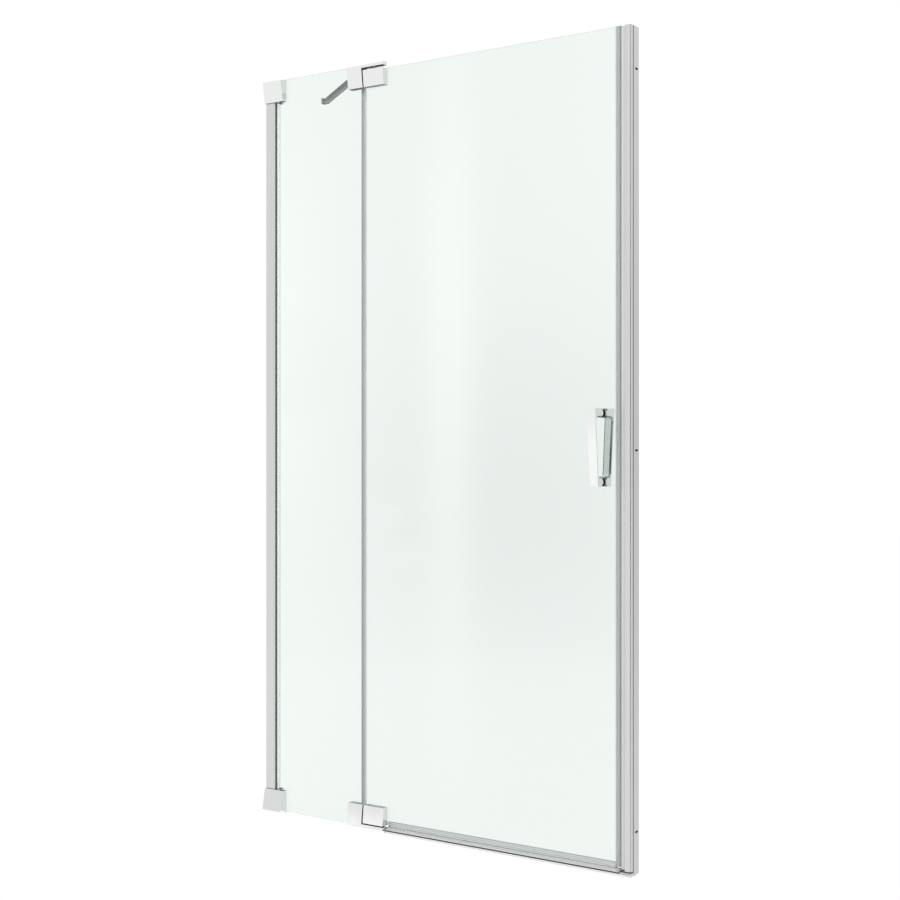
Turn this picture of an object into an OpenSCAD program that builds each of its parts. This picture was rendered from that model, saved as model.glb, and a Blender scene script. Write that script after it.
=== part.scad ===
// Hinged shower door: a fixed glass pane beside a glass door that swings outwards on two
// clamp-on pivot hinges. X runs from wall to wall, -Y is the room side, Z is up.
// The origin is at mid width, in the middle plane of the glass, on the shower tray.

/* [Overall] */
// Width from wall to wall
set_w = 1100; // [950:1:1400]
// Height above the shower tray
set_h = 1950; // [1700:1:2200]
// Thickness of both panes
glass_t = 6; // [5:0.5:8]
// Width of the fixed side, from its wall to the free edge of its pane
fixed_w = 320; // [260:1:450]
// Gap between the edges of the two panes
pane_gap = 8; // [7:0.5:11]
// Height of the fixed pane above the tray
pane_lift = 2; // [1.5:0.5:4]
// Height of the door pane above the tray
door_lift = 17; // [16.5:0.5:24]
// Drop of the door pane below the top
door_drop = 16; // [13:0.5:24]

/* [Left wall channel] */
// Depth of the channel, front to back
channel_d = 25; // [22:0.5:32]
// Distance the channel stands out from the wall
channel_w = 30; // [26:0.5:40]
// Wall thickness of the aluminium profiles
profile_t = 1.6; // [1.2:0.1:2.2]
// Depth of the hooks at the mouth of the channel
hook = 1; // [0.6:0.1:1.6]
// Distance from the wall to the edge of the fixed pane
glass_set = 8; // [5:0.5:12]
// Length of the glazing gaskets into the channel
gasket_w = 13; // [8:0.5:16]
// Diameter of the wall screw holes
wall_hole_d = 6; // [4:0.5:8]
// Distance from the ends of a wall channel to its first screw hole or slot
wall_hole_end = 96; // [80:1:160]
// Distance from the ends of the channel to the outer faces of the corner blocks
channel_inset = 5; // [4.5:0.5:8]

/* [Corner blocks] */
// Height of a corner block
corner_h = 60; // [45:1:90]
// Length of a corner block past the channel, in front of the pane
corner_grip = 33; // [24:1:50]
// Length of a corner block past the channel, behind the pane
corner_back_grip = 12; // [8:1:20]
// Metal in front of the channel at the outer end
corner_wall_out = 15.5; // [8:0.5:20]
// Metal in front of the channel at the inner end
corner_wall_in = 5.5; // [3:0.5:8]
// Metal behind the channel
corner_wall_back = 2.5; // [2:0.5:5]
// Rise of a casting's slanted end at the glass
end_lift = 1.5; // [1:0.25:3]
// Rise of a casting's slanted end at its front
end_rise = 6; // [4:0.5:8]

/* [Hinge bodies] */
// Height of a hinge body
hinge_h = 61; // [52:1:80]
// Length of a hinge body on the fixed pane
hinge_grip = 34; // [30:1:50]
// Reach of a hinge body past the edge of the fixed pane
hinge_past = 13; // [11:0.5:18]
// Reach in front of the glass plane at the outer end
hinge_out = 27.5; // [27:0.5:34]
// Reach in front of the glass plane at the inner end
hinge_in = 20.5; // [18:0.5:26]
// Thickness of the arm that reaches over the leaf
arm_t = 13; // [11:0.5:16]
// Reach of the arm past the leaf
arm_past = 2; // [0:0.5:6]
// Metal behind the pivot pin in the arm
arm_web = 3.5; // [2:0.5:6]
// Gap between the arm and the leaf at the top
arm_gap = 5.5; // [3:0.5:8]

/* [Leaves] */
// Gap between a hinge body and its leaf
leaf_gap = 3.5; // [3:0.5:6]
// Width of a leaf
leaf_w = 63.5; // [52:0.5:80]
// Reach of a leaf in front of the glass plane at the outer end
leaf_out = 25.5; // [24:0.5:26.5]
// Reach of a leaf in front of the glass plane at the inner end
leaf_in = 20.5; // [16:0.5:24]
// Width of the counter plate behind a leaf
leaf_plate_w = 44; // [40:1:50]
// Height of the counter plate behind a leaf
leaf_plate_h = 32; // [20:1:36]
// Distance between the two screws of a leaf
leaf_screw_pitch = 28; // [20:1:30]

/* [Pivots] */
// Distance of the pivot axis in front of the glass plane
pivot_y = 17; // [16:0.5:18]
// Diameter of the pivot pins
pin_d = 7; // [5:0.5:8]
// Distance from the outer end of a hinge to the end of its pin
pin_set = 6; // [5:0.5:7]
// Depth of a pin in its leaf
pin_depth = 14; // [10:0.5:18]
// Wall of the leaf bushes
bush_wall = 1.2; // [0.8:0.1:1.6]
// Diameter of a bush's flange and of the thrust washer
flange_d = 13; // [12:0.5:14]
// Thickness of a bush's flange
flange_t = 1.2; // [1:0.1:2]
// Thickness of the thrust washer
washer_t = 1.2; // [1:0.1:2]

/* [Clamp hardware] */
// Thickness of the soft pads between metal and glass
pad_t = 1; // [0.5:0.1:1.5]
// Thickness of the counter plates
plate_t = 5; // [4:0.5:7]
// Diameter of the clamp screws
screw_d = 5; // [4:0.5:6]
// Diameter of the heads of the clamp screws
screw_head_d = 10; // [9:0.5:11]
// Distance between the two screws of a hinge body
hinge_screw_pitch = 22; // [18:1:26]
// Wall of the sleeves in the glass holes
sleeve_wall = 1.8; // [1:0.1:2.5]

/* [Stabiliser] */
// Side of the square bar
bar_s = 13; // [11:0.5:16]
// Drop of the bar's middle below the top
bar_drop = 8; // [8:0.5:10]
// Distance of the front pivot behind the glass plane
bar_front_y = 20; // [18:0.5:30]
// Distance of the wall pivot behind the glass plane
bar_wall_y = 228; // [150:1:300]
// Distance of the wall pivot from the wall
bar_wall_x = 16; // [12:0.5:18]
// Thickness of the fork cheeks
cheek_t = 3; // [2:0.5:4]
// Thickness of the wall flange
wall_flange_t = 4; // [3:0.5:5]
// Side of the square wall flange
wall_flange_s = 16; // [14:0.5:20]
// Diameter of the two pivot screws of the bar
bar_pin_d = 5; // [4:0.5:6]
// Diameter of the wall screw hole in the flange
flange_hole_d = 4.2; // [3.5:0.1:5]

/* [Closing side] */
// Width of the closing profile, from the wall to its edge at the door
closing_w = 31; // [28:0.5:44]
// Reach of the closing profile in front of the glass plane
closing_out = 20; // [18:0.5:26]
// Reach of the slanted nose in front of the glass plane, at the step
nose_out = 16; // [13:0.5:17]
// Reach of the slanted nose in front of the glass plane, at the door
nose_in = 8; // [7:0.5:11]
// Width of the slanted nose
nose_w = 15.5; // [12:0.5:18]
// Reach of the closing side behind the glass plane
closing_back = 20; // [17:0.5:26]
// Reach of the right wall channel in front of the glass plane
channel_r_front = 6; // [5:0.5:8]
// Distance the right wall channel stands out from the wall
channel_r_w = 20; // [17:0.5:22]
// Drop of the closing side below the top
closing_drop = 20.5; // [14:0.5:30]
// Height of the closing profile above the tray
closing_lift = 12; // [8:0.5:14]
// Radius of the closing profile's front corner at the wall
closing_round = 4; // [1:0.5:5]
// Length of the wall slots, front to back
slot_l = 13; // [8:0.5:16]
// Height of the wall slots
slot_h = 4.6; // [4:0.1:7]
// Thickness of the end caps
cap_t = 1.6; // [1:0.1:2.5]

/* [Seals] */
// Wall of the clip-on seals
clip_t = 1.2; // [0.8:0.1:1.6]
// Length of the edge seal on the fixed pane
edge_grip = 3; // [2:0.5:8]
// Thickness of the edge seal past the edge of the fixed pane
edge_base = 4; // [2:0.5:5]
// Length of the edge seal's lip past the edge of the fixed pane
edge_lip = 12; // [10.4:0.2:16]
// Length of the magnet seal on the door pane
magnet_grip = 6; // [4:0.5:10]
// Length of the magnet seal past the door pane
magnet_nose = 8.2; // [6.8:0.2:12]
// Half depth of the magnet seal, front to back
magnet_half = 6; // [5.4:0.1:7]
// Thickness of the magnet strips
magnet_t = 3; // [2:0.2:4]
// Gap between the magnet seal and the closing profile
closing_gap = 1.8; // [1.6:0.1:3]
// Height of the bottom seal on the door pane
bottom_grip = 7.3; // [6:0.1:12]
// Number of ribs on the front of the bottom seal
bottom_ribs = 3; // [2:1:4]

/* [Threshold] */
// Height of the threshold bar
threshold_h = 11.5; // [11:0.5:14]
// Reach of the threshold bar in front of the glass plane
threshold_out = 22; // [18:0.5:28]
// Height of the threshold bar's front edge
threshold_edge = 8; // [7.5:0.5:9]
// Reach of the threshold bar behind the glass plane
threshold_back = 10; // [6:0.5:16]

/* [Handle] */
// Height of the handle's middle above the tray
handle_z = 972; // [800:1:1200]
// Distance from the edge of the door pane to the handle's middle
handle_inset = 47; // [35:1:90]
// Length of the handle
handle_h = 180; // [140:1:300]
// Width of the handle at the top
handle_w = 23; // [20:0.5:32]
// Width of the handle at the bottom
handle_w_low = 21; // [19:0.5:30]
// Reach from the glass plane at the top
handle_out = 47.5; // [40:0.5:60]
// Reach from the glass plane at the bottom
handle_out_low = 32; // [28:0.5:45]
// Thickness of the grip at the top
grip_t = 9; // [6:0.5:14]
// Thickness of the grip at the bottom
grip_t_low = 5.5; // [4:0.5:10]
// Height of the upper post
post_top = 21; // [21:1:30]
// Height of the lower post
post_low = 23; // [21:1:35]
// Radius of the finger gap's outer corners
gap_r = 8; // [3:0.5:10]
// Diameter of the round bosses and rubber rings
boss_d = 21; // [16:0.5:21]
// Thickness of a round boss
boss_t = 7.5; // [2:0.5:8]
// Thickness of a rubber ring
ring_t = 1.5; // [1:0.5:4]
// Diameter of the handle studs
stud_d = 6; // [4:0.5:8]
// Depth of a stud in a handle half
stud_depth = 12; // [8:0.5:14]

/* [Hidden] */
$fn = 48;

// Clearances
fit = 0.15;          // sliding profiles and pieces that seat in a pocket
screw_fit = 0.05;    // round a screw or stud in metal, on the radius
sleeve_fit = 0.1;    // round a sleeve in a glass hole, on the radius
run_fit = 0.05;      // pivot pin in its bush, on the radius
thrust_gap = 0.1;    // thrust washer to the bush's flange
seal_gap = 0.3;      // between a seal and what it runs against
butt_gap = 0.3;      // between two pieces that stand end to end
tip_room = 1;        // beyond the end of a pin or screw in its blind hole
ease = 0.8;          // radius of eased edges
eps = 0.5;           // extra length of a cut past the face it opens

// Glass and metal faces, measured from the glass plane
face = glass_t / 2;
pad_face = face + pad_t;
plate_face = pad_face + plate_t;

// Walls and the fixed pane
wall_l = -set_w / 2;
wall_r = set_w / 2;
mouth_x = wall_l + channel_w;
fixed_x0 = wall_l + glass_set;
fixed_x1 = wall_l + fixed_w;
channel_z0 = channel_inset;
channel_z1 = set_h - channel_inset;
channel_in = channel_d / 2 - profile_t;

// Hinge line
body_x0 = fixed_x1 - hinge_grip;
body_x1 = fixed_x1 + hinge_past;
leaf_x0 = body_x1 + leaf_gap;
leaf_x1 = leaf_x0 + leaf_w;
arm_x1 = leaf_x1 + arm_past;
pivot_x = (leaf_x0 + leaf_x1) / 2;
arm_back_y = -pivot_y + pin_d / 2 + arm_web;
hinge_screw_x = (body_x0 + fixed_x1) / 2;
screw_shift = 2;     // keeps the hinge screws clear of the stabiliser's fork
hinge_screw_z = [for (s = [-1, 1]) hinge_h / 2 + screw_shift + s * hinge_screw_pitch / 2];
low_gap = flange_t + washer_t + thrust_gap;
leaf_screw_x = [for (s = [-1, 1]) pivot_x + s * leaf_screw_pitch / 2];
function leaf_z0(gap) = arm_t + gap;
function leaf_mid(gap) = (leaf_z0(gap) + hinge_h) / 2;
bush_r = pin_d / 2 + run_fit + bush_wall;
sleeve_r = screw_d / 2 + screw_fit + sleeve_wall;
screw_deep = 7;      // depth of a clamp screw in the front casting
screw_cone = 2.5;    // height of a countersunk head
socket_r = 0.35;     // half width of a hexagon socket, as a share of the screw's diameter

// Closing side and the door pane
closing_x0 = wall_r - closing_w;
closing_z0 = closing_lift;
closing_z1 = set_h - closing_drop;
channel_r_z0 = pane_lift;
step_x = closing_x0 + nose_w;
channel_r_x0 = wall_r - channel_r_w;
tongue_short = 3;    // distance from the telescoping tongue to the channel's web
tongue_x1 = wall_r - profile_t - tongue_short;
tongue_y0 = -channel_r_front + profile_t + fit;
tongue_y1 = closing_back - profile_t - fit;
slot_shift = 1;      // the wall slots lie behind the middle of the channel
slot_y = (closing_back - channel_r_front) / 2 + slot_shift;
door_x0 = fixed_x1 + pane_gap;
door_x1 = closing_x0 - closing_gap - magnet_nose;
door_z0 = door_lift;
door_z1 = set_h - door_drop;
magnet_y = magnet_half - clip_t - fit;
strip_lip = 0.4;     // the frame's magnet strip stands proud of the profile
strip_neck = 4;      // half height of the strip's face
strip_foot = 6;      // half height of the strip's foot

// Stabiliser
bar_z = set_h - max(bar_drop, bar_s / 2, wall_flange_s / 2);
bar_a = [hinge_screw_x, bar_front_y];
bar_b = [wall_l + bar_wall_x, bar_wall_y];
bar_len = norm(bar_b - bar_a);
bar_turn = atan2(bar_b.y - bar_a.y, bar_b.x - bar_a.x);
tongue_t = bar_s - 2 * cheek_t - 2 * fit;
bar_shoulder = bar_s / 2 + tip_room;
bar_head_t = 2;      // height of the heads of the bar's pivot screws
bar_head_r = 4.2;    // radius of those heads

// Handle
handle_x = door_x1 - handle_inset;
handle_z0 = handle_z - handle_h / 2;
handle_z1 = handle_z + handle_h / 2;
stud_z = [handle_z0 + boss_d / 2, handle_z1 - boss_d / 2];
ring_face = face + ring_t;
post_face = ring_face + boss_t;
stud_sleeve_r = stud_d / 2 + screw_fit + sleeve_wall;
stud_tip = ring_face + stud_depth;

// Threshold bar
threshold_x0 = arm_x1 + butt_gap + cap_t;
threshold_x1 = wall_r - butt_gap;
threshold_land = 1;       // height of the edge above the groove
threshold_groove = [2.5, 2.2];    // depth and height of the groove along the front edge
threshold_foot = threshold_edge - threshold_land - threshold_groove.y;

// Arc round the corner b between the sides to a and d
function corner_arc(a, b, d, r, n) = r == 0 ? [b] :
    let (u = (a - b) / norm(a - b), v = (d - b) / norm(d - b), half = acos(u * v) / 2,
         t = r / tan(half), c = b + (u + v) / norm(u + v) * r / sin(half))
    [for (i = [0 : n]) let (p = b + t * (u * (1 - i / n) + v * i / n), w = p - c) c + r * w / norm(w)];

// Outline p with every corner rounded by r, or by its own radius where r is a list
function rounded(p, r, n = 3) = [
    for (i = [0 : len(p) - 1])
        each corner_arc(p[(i + len(p) - 1) % len(p)], p[i], p[(i + 1) % len(p)],
                        is_list(r) ? r[i] : r, n)
];

function box_outline(x0, y0, x1, y1) = [[x0, y0], [x1, y0], [x1, y1], [x0, y1]];

// Extrusions of an outline drawn in YZ, XZ or XY
module along_x(x0, x1) translate([x0, 0, 0]) rotate([90, 0, 90]) linear_extrude(x1 - x0) children();
module along_y(y0, y1) translate([0, y1, 0]) rotate([90, 0, 0]) linear_extrude(y1 - y0) children();
module along_z(z0, z1) translate([0, 0, z0]) linear_extrude(z1 - z0) children();

// A straight rod or hole along Y or Z
module rod_y(x, z, y0, y1, r) translate([x, y1, z]) rotate([90, 0, 0]) cylinder(h = y1 - y0, r = r);
module rod_z(x, y, z0, z1, r) translate([x, y, z0]) cylinder(h = z1 - z0, r = r);

// The same piece as at the bottom, turned over at the top of the set
module at_top() translate([0, 0, set_h]) mirror([0, 0, 1]) children();

module both_ends() {
    children();
    at_top() children();
}

// Left wall channel with its gaskets and pane

module wall_channel_left() color("silver") difference() {
    along_z(channel_z0, channel_z1) {
        difference() {
            translate([wall_l, -channel_d / 2]) square([channel_w, channel_d]);
            translate([wall_l + profile_t, -channel_in]) square([channel_w, 2 * channel_in]);
        }
        for (s = [-1, 1])
            translate([mouth_x - profile_t, s * (channel_in - hook / 2) - hook / 2])
                square([profile_t, hook]);
    }
    for (z = [channel_z0 + wall_hole_end, set_h / 2, channel_z1 - wall_hole_end])
        translate([wall_l - eps, 0, z]) rotate([0, 90, 0]) cylinder(h = profile_t + 2 * eps, d = wall_hole_d);
    both_ends() rod_y(corner_screw_x, corner_h / 2, channel_in - eps, channel_d / 2 + eps,
                      corner_screw_d / 2 + screw_fit);
}

module gasket() along_z(channel_z0, channel_z1) polygon([
    [mouth_x - gasket_w, face], [mouth_x, face],
    [mouth_x, channel_in - hook - fit], [mouth_x - profile_t - fit, channel_in - hook - fit],
    [mouth_x - profile_t - fit, channel_in - fit / 2], [mouth_x - gasket_w / 2, channel_in - fit / 2],
    [mouth_x - gasket_w, face + (channel_in - face) / 2]
]);

module glazing_gasket_front() color("dimgray") mirror([0, 1, 0]) gasket();

module glazing_gasket_back() color("silver", 0.7) gasket();

module fixed_glass() color("lightcyan", 0.5) difference() {
    along_y(-face, face) translate([fixed_x0, pane_lift]) square([fixed_x1 - fixed_x0, set_h - pane_lift]);
    both_ends() for (z = hinge_screw_z)
        rod_y(hinge_screw_x, z, -face - eps, face + eps, sleeve_r + sleeve_fit);
}

// Blocks that carry the fixed pane on the tray, between the corner block and the hinge
setting_l = 24;    // length of a block

module setting_blocks() color("silver", 0.7)
    for (x = [fixed_x0 + corner_grip + channel_w, body_x0 - setting_l])
        translate([x, -face, 0]) cube([setting_l, glass_t, pane_lift]);

// Corner blocks, drawn at the bottom with the outer end on the tray

corner_x1 = mouth_x + corner_grip;
corner_back_x1 = mouth_x + corner_back_grip;
corner_out = channel_d / 2 + corner_wall_out;
corner_in = channel_d / 2 + corner_wall_in;
corner_back = channel_d / 2 + corner_wall_back;
corner_screw_d = 3.5;
corner_screw_x = wall_l + glass_set + corner_screw_d / 2;
corner_screw_in = 1.5;    // reach of a corner screw into the channel

// Side view of a casting: slanted front, and an outer end that slants with it
function casting_outline(out, in, back, z_in) = rounded(
    [[-out, end_rise], [-pad_face, end_lift], [back, end_lift], [back, z_in], [-in, z_in]],
    [ease, 0, 0, 0, ease]);

module corner_block() difference() {
    intersection() {
        along_x(wall_l, corner_x1) polygon(casting_outline(corner_out, corner_in, corner_back, corner_h));
        along_z(0, corner_h) polygon(rounded([
            [wall_l, -corner_out], [corner_x1, -corner_out], [corner_x1, 0],
            [corner_back_x1, 0], [corner_back_x1, corner_back], [wall_l, corner_back]
        ], [0, ease, 0, 0, ease, 0]));
    }
    // pocket of the channel, slot of the pane with its pads, and screw hole
    translate([wall_l - eps, -channel_d / 2 - fit, channel_inset])
        cube([channel_w + fit + eps, channel_d + 2 * fit, corner_h]);
    translate([fixed_x0 - fit, -pad_face, -eps]) cube([set_w, 2 * pad_face, corner_h + 2 * eps]);
    rod_y(corner_screw_x, corner_h / 2, channel_d / 2, corner_back + eps, corner_screw_d / 2 + screw_fit);
}

module corner_block_top() color("gainsboro") at_top() corner_block();

module corner_block_bottom() color("gainsboro") corner_block();

module corner_block_pads() color("dimgray") both_ends() for (side = [[-pad_face, corner_x1], [face, corner_back_x1]])
    translate([mouth_x + fit, side[0], pane_lift])
        cube([side[1] - mouth_x - fit - ease, pad_t, corner_h - pane_lift - ease]);

pan_head = 0.6;      // height of a pan head, as a share of the screw's diameter
pan_floor = 0.25;    // height of the floor of its socket, as the same share

// Pan-head screw with its head's underside at y and its shank towards -Y
module pan_screw(x, z, y, d, len) difference() {
    union() {
        rod_y(x, z, y - len, y, d / 2);
        rod_y(x, z, y, y + d * pan_head, d);
    }
    rod_y(x, z, y + d * pan_floor, y + d * pan_head + eps, d * socket_r, $fn = 6);
}

module corner_block_screws() color("silver") both_ends()
    pan_screw(corner_screw_x, corner_h / 2, corner_back, corner_screw_d, corner_wall_back + profile_t + corner_screw_in);

// Hinge bodies and their clamp hardware, drawn at the bottom

module hinge_body() difference() {
    intersection() {
        along_y(-hinge_out, -pad_face) polygon(rounded([
            [body_x0, 0], [arm_x1, 0], [arm_x1, arm_t], [body_x1, arm_t], [body_x1, hinge_h], [body_x0, hinge_h]
        ], [0, 0, ease, ease, ease, ease]));
        along_x(body_x0, arm_x1) polygon(casting_outline(hinge_out, hinge_in, -pad_face + ease, hinge_h));
    }
    translate([body_x1, arm_back_y, -eps]) cube([arm_x1 - body_x1 + eps, hinge_out, arm_t + 2 * eps]);
    rod_z(pivot_x, -pivot_y, -eps, arm_t + eps, pin_d / 2 + screw_fit);
    for (z = hinge_screw_z)
        rod_y(hinge_screw_x, z, -pad_face - screw_deep - tip_room, -pad_face + eps, screw_d / 2 + screw_fit);
}

module hinge_body_top() color("gainsboro") at_top() hinge_body();

module hinge_body_bottom() color("gainsboro") hinge_body();

plate_edge = 3;    // a counter plate's setback from the casting's outline
plate_r = 2;       // corner radius of a counter plate

module plate_screw_hole(x, z) {
    rod_y(x, z, pad_face - eps, plate_face + eps, screw_d / 2 + screw_fit);
    translate([x, plate_face + screw_fit, z]) rotate([90, 0, 0])
        cylinder(h = screw_cone, r1 = screw_head_d / 2 + screw_fit, r2 = screw_d / 2 + screw_fit);
}

module hinge_plate() difference() {
    along_y(pad_face, plate_face) polygon(rounded(
        box_outline(body_x0 + plate_edge, plate_edge, fixed_x1 - plate_edge, hinge_h - plate_edge), plate_r));
    for (z = hinge_screw_z) plate_screw_hole(hinge_screw_x, z);
}

// Two cheeks from the plane at y0 or x0 to the pivot at p, with the bar's tongue between them
module fork(p, from) difference() {
    along_z(bar_z - bar_s / 2, bar_z + bar_s / 2) {
        translate(p) circle(d = bar_s);
        if (from.x == p.x) translate([p.x - bar_s / 2, from.y]) square([bar_s, p.y - from.y]);
        else translate([from.x, p.y - bar_s / 2]) square([p.x - from.x, bar_s]);
    }
    translate([p.x - bar_s * 2, p.y - bar_s * 2, bar_z - tongue_t / 2 - fit])
        cube([bar_s * 4, bar_s * 4, tongue_t + 2 * fit]);
    rod_z(p.x, p.y, bar_z - bar_s, bar_z + bar_s, bar_pin_d / 2 + screw_fit);
}

module hinge_plate_top() color("gainsboro") {
    at_top() hinge_plate();
    fork(bar_a, [bar_a.x, plate_face]);
}

module hinge_plate_bottom() color("gainsboro") hinge_plate();

module hinge_body_pads() color("dimgray") both_ends() difference() {
    for (y = [-pad_face, face])
        translate([body_x0 + plate_edge, y, plate_edge])
            cube([hinge_grip - plate_edge, pad_t, hinge_h - 2 * plate_edge]);
    for (z = hinge_screw_z)
        rod_y(hinge_screw_x, z, -plate_face, plate_face, screw_d / 2 + screw_fit);
}

// Countersunk screw through a counter plate into the front casting
module clamp_screw(x, z) difference() {
    union() {
        rod_y(x, z, -pad_face - screw_deep, plate_face - screw_cone / 2, screw_d / 2);
        translate([x, plate_face, z]) rotate([90, 0, 0])
            cylinder(h = screw_cone, r1 = screw_head_d / 2, r2 = screw_d / 2);
    }
    rod_y(x, z, plate_face - screw_cone / 2, plate_face + eps, screw_d * socket_r, $fn = 6);
}

module hinge_body_screws() color("silver") both_ends() for (z = hinge_screw_z) clamp_screw(hinge_screw_x, z);

module sleeve(x, z, inner, outer) difference() {
    rod_y(x, z, -face, face, outer);
    rod_y(x, z, -face - eps, face + eps, inner);
}

module hinge_body_sleeves() color("dimgray") both_ends() for (z = hinge_screw_z)
    sleeve(hinge_screw_x, z, screw_d / 2 + screw_fit, sleeve_r);

// Threaded pin with a hexagon socket in its outer end
module pivot_pin(gap) difference() {
    rod_z(pivot_x, -pivot_y, pin_set, leaf_z0(gap) + pin_depth, pin_d / 2);
    rod_z(pivot_x, -pivot_y, pin_set - eps, pin_set + pin_d / 2, pin_d * socket_r, $fn = 6);
}

module pivot_pin_top() color("silver") at_top() pivot_pin(arm_gap);

module pivot_pin_bottom() color("silver") pivot_pin(low_gap);

module thrust_washer() color("dimgray") difference() {
    rod_z(pivot_x, -pivot_y, arm_t, arm_t + washer_t, flange_d / 2);
    rod_z(pivot_x, -pivot_y, arm_t - eps, arm_t + washer_t + eps, pin_d / 2 + run_fit);
}

// Seal clipped on the free edge of the fixed pane, with a lip in front of the door pane
module panel_edge_seal() color("silver", 0.6)
    along_z(hinge_h + butt_gap, set_h - hinge_h - butt_gap) {
        difference() {
            translate([fixed_x1 - edge_grip, -face - clip_t])
                square([edge_grip + edge_base, glass_t + 2 * clip_t]);
            translate([fixed_x1 - edge_grip - eps, -face]) square([edge_grip + eps, glass_t]);
        }
        polygon([
            [fixed_x1, -face - clip_t], [fixed_x1 + edge_lip, -face - clip_t - seal_gap],
            [fixed_x1 + edge_lip, -face - seal_gap], [fixed_x1, -face]
        ]);
    }

// Stabiliser bar from the top hinge plate to the wall

module stabiliser_bar() color("silver") translate([bar_a.x, bar_a.y, bar_z]) rotate(bar_turn) difference() {
    union() {
        translate([bar_shoulder, -bar_s / 2, -bar_s / 2]) cube([bar_len - 2 * bar_shoulder, bar_s, bar_s]);
        translate([0, -bar_s / 2, -tongue_t / 2]) cube([bar_len, bar_s, tongue_t]);
        for (x = [0, bar_len]) translate([x, 0, -tongue_t / 2]) cylinder(h = tongue_t, d = bar_s);
    }
    for (x = [0, bar_len]) rod_z(x, 0, -tongue_t, tongue_t, bar_pin_d / 2 + screw_fit);
}

module stabiliser_wall_flange() color("silver") {
    difference() {
        translate([wall_l, bar_wall_y - wall_flange_s / 2, bar_z - wall_flange_s / 2])
            cube([wall_flange_t, wall_flange_s, wall_flange_s]);
        translate([wall_l - eps, bar_wall_y, bar_z]) rotate([0, 90, 0])
            cylinder(h = wall_flange_t + 2 * eps, d = flange_hole_d);
    }
    fork(bar_b, [wall_l + wall_flange_t, bar_b.y]);
}

module stabiliser_screws() color("silver") for (p = [bar_a, bar_b]) difference() {
    union() {
        rod_z(p.x, p.y, bar_z - bar_s / 2, bar_z + bar_s / 2, bar_pin_d / 2);
        rod_z(p.x, p.y, bar_z - bar_s / 2 - bar_head_t, bar_z - bar_s / 2, bar_head_r);
    }
    rod_z(p.x, p.y, bar_z - bar_s / 2 - bar_head_t - eps, bar_z - bar_s / 2, bar_pin_d * socket_r, $fn = 6);
}

// Closing side at the right wall

wall_slot_z = [
    channel_r_z0 + wall_hole_end, (channel_r_z0 + closing_z1) / 2, closing_z1 - wall_hole_end
];
lock_d = 3.5;
lock_in = 3;      // reach of a lock screw past both profiles
lock_off = 40;    // the lock screws sit this far above the wall slots
lock_x = (channel_r_x0 + tongue_x1) / 2;

module wall_channel_right() color("silver") difference() {
    along_z(channel_r_z0, closing_z1) difference() {
        translate([channel_r_x0, -channel_r_front]) square([channel_r_w, channel_r_front + closing_back]);
        translate([channel_r_x0 - eps, -channel_r_front + profile_t])
            square([channel_r_w - profile_t + eps, channel_r_front + closing_back - 2 * profile_t]);
    }
    for (z = wall_slot_z) wall_slot(z);
    for (z = wall_slot_z)
        rod_y(lock_x, z + lock_off, closing_back - profile_t - eps, closing_back + eps, lock_d / 2 + screw_fit);
}

// A slot through the web: two round ends and the straight part between them
module wall_slot(z) translate([wall_r - profile_t - eps, slot_y, z]) rotate([0, 90, 0])
    linear_extrude(profile_t + 2 * eps) {
        for (s = [-1, 1]) translate([0, s * (slot_l - slot_h) / 2]) circle(d = slot_h);
        square([slot_h, slot_l - slot_h], center = true);
    }

rebate = [1.2, 2.8];    // depth and height of the rebate where the profile meets the channel

// Outline of the closing profile: slanted nose, step, front, rebate, and the tongue inside the channel
closing_outline = [
    [closing_x0, -nose_in], [step_x, -nose_out], [step_x, -closing_out], [wall_r, -closing_out],
    [wall_r, -channel_r_front - rebate.y], [wall_r - rebate.x, -channel_r_front - rebate.y],
    [wall_r - rebate.x, -channel_r_front - fit], [channel_r_x0 - fit, -channel_r_front - fit],
    [channel_r_x0 - fit, tongue_y0], [tongue_x1, tongue_y0], [tongue_x1, tongue_y1],
    [channel_r_x0 - fit, tongue_y1], [channel_r_x0 - fit, closing_back], [closing_x0, closing_back]
];
closing_radii = [2.5, 0.5, 0.5, closing_round, 0, 0, 0, 0, 0, 0, 0, 0, 0, ease];
pocket_x = closing_x0 + magnet_t + profile_t;

module closing_section() difference() {
    polygon(rounded(closing_outline, closing_radii, 5));
    // chamber of the front, chamber of the tongue, and pocket of the magnet strip
    translate([step_x + profile_t, -closing_out + profile_t]) square([
        wall_r - step_x - 2 * profile_t - rebate.x, closing_out - channel_r_front - fit - 2 * profile_t
    ]);
    translate([pocket_x + profile_t, tongue_y0 + profile_t])
        square([tongue_x1 - pocket_x - 2 * profile_t, tongue_y1 - tongue_y0 - 2 * profile_t]);
    translate([closing_x0 + profile_t, -strip_foot - fit])
        square([magnet_t + fit, 2 * (strip_foot + fit)]);
    translate([closing_x0 - eps, -strip_neck - fit]) square([profile_t + 2 * eps, 2 * (strip_neck + fit)]);
}

module closing_profile() color("silver") difference() {
    along_z(closing_z0 + cap_t, closing_z1 - cap_t) closing_section();
    for (z = wall_slot_z)
        rod_y(lock_x, z + lock_off, tongue_y1 - profile_t - eps, closing_back + eps, lock_d / 2 + screw_fit);
}

module closing_profile_caps() color("silver")
    for (z = [closing_z0, closing_z1 - cap_t]) along_z(z, z + cap_t)
        polygon(rounded(closing_outline, closing_radii, 5));

module profile_lock_screws() color("silver") for (z = wall_slot_z)
    pan_screw(lock_x, z + lock_off, closing_back, lock_d, 2 * profile_t + lock_in);

module frame_magnet_strip() color("dimgray") along_z(closing_z0 + cap_t, closing_z1 - cap_t) {
    translate([closing_x0 - strip_lip, -strip_neck]) square([strip_lip + profile_t + fit, 2 * strip_neck]);
    translate([closing_x0 + profile_t + fit, -strip_foot]) square([magnet_t - fit, 2 * strip_foot]);
}

// Threshold bar on the tray, from the bottom hinge to the right wall

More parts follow.
